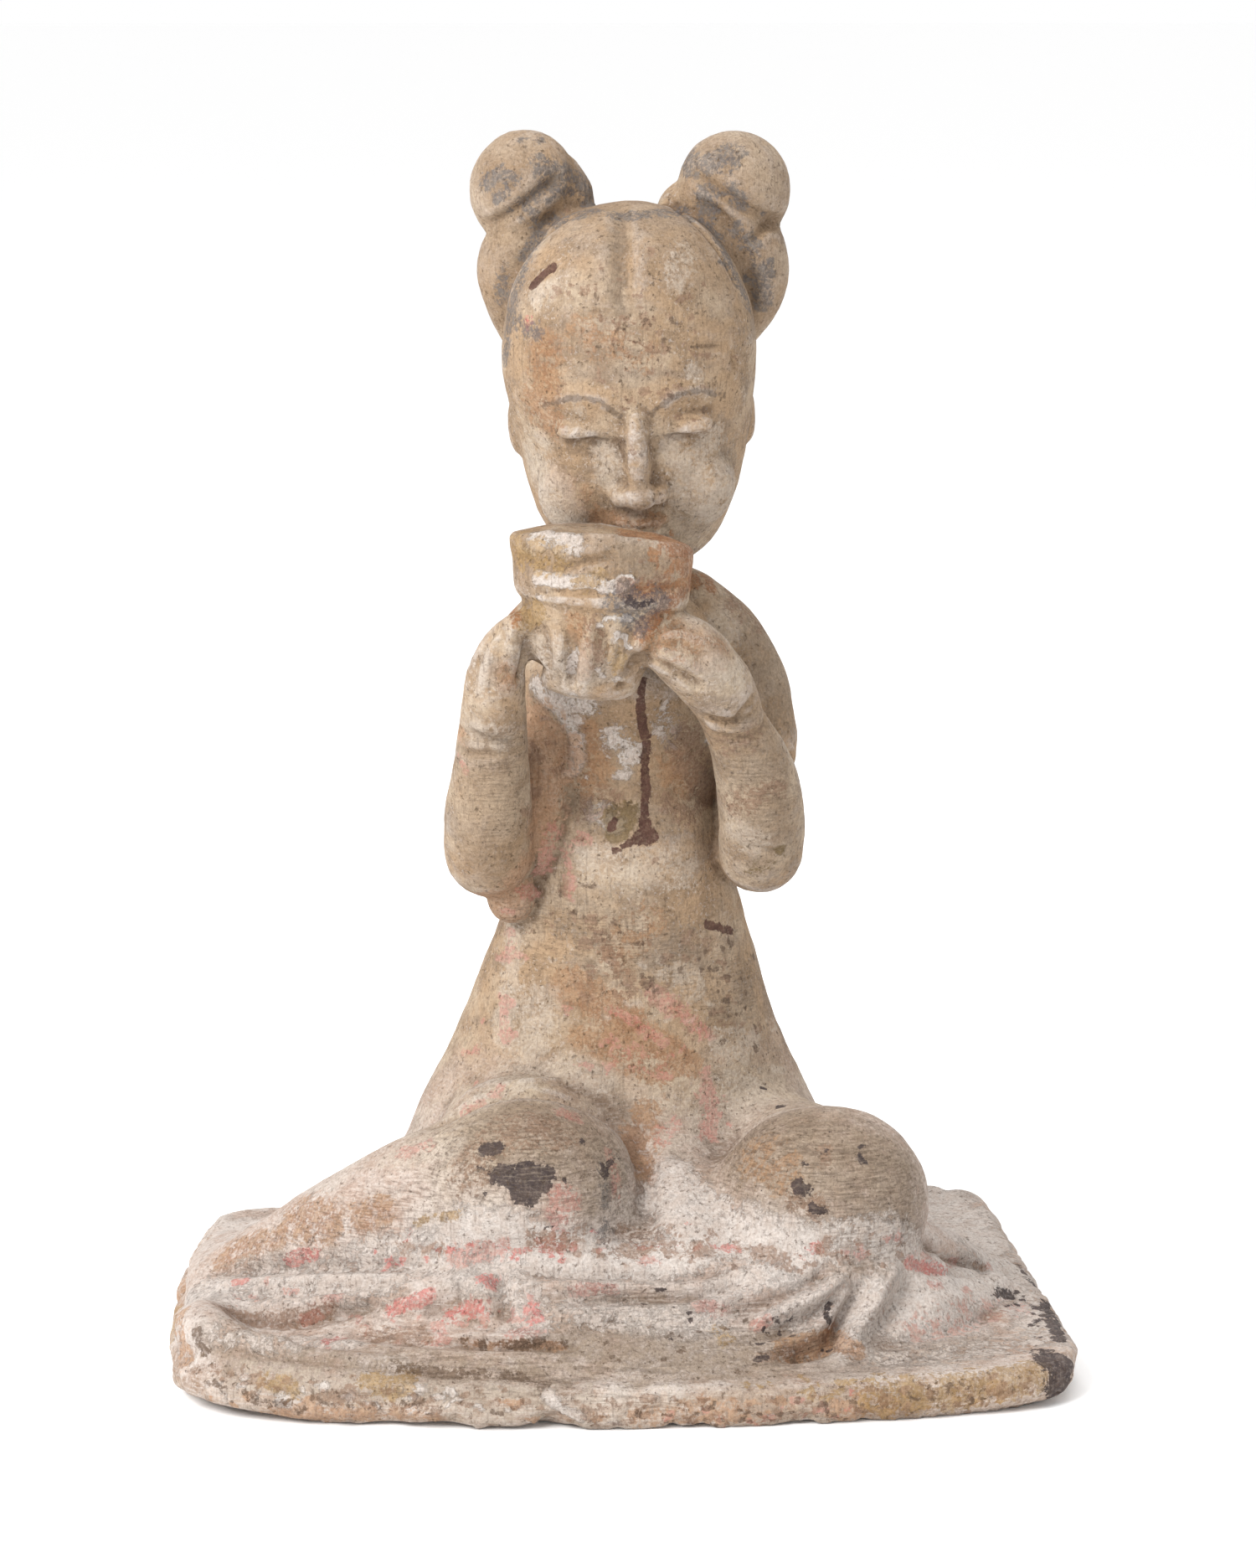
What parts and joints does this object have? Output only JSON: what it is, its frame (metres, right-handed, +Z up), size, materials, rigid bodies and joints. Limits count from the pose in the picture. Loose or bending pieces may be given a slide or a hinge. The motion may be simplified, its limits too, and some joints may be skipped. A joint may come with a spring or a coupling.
{
  "type": "tomb musician figure",
  "caption": "Kneeling earthenware tomb figure of a woman with two hair buns who blows a small set of pipes, on a low slab.",
  "frame": {"origin": "middle of the slab's flat underside, on the surface that the figure stands on", "axes": "+Z up, -Y where the face looks, +X to the viewer's right"},
  "size_m": [0.1485, 0.1079, 0.2],
  "materials": {
    "painted_earthenware": "unglazed low-fired clay under a worn white slip, with traces of cold-painted pigment and burial soil"
  },
  "bodies": {
    "root": {"tomb_musician_figure": "painted_earthenware"}
  },
  "joints": []
}
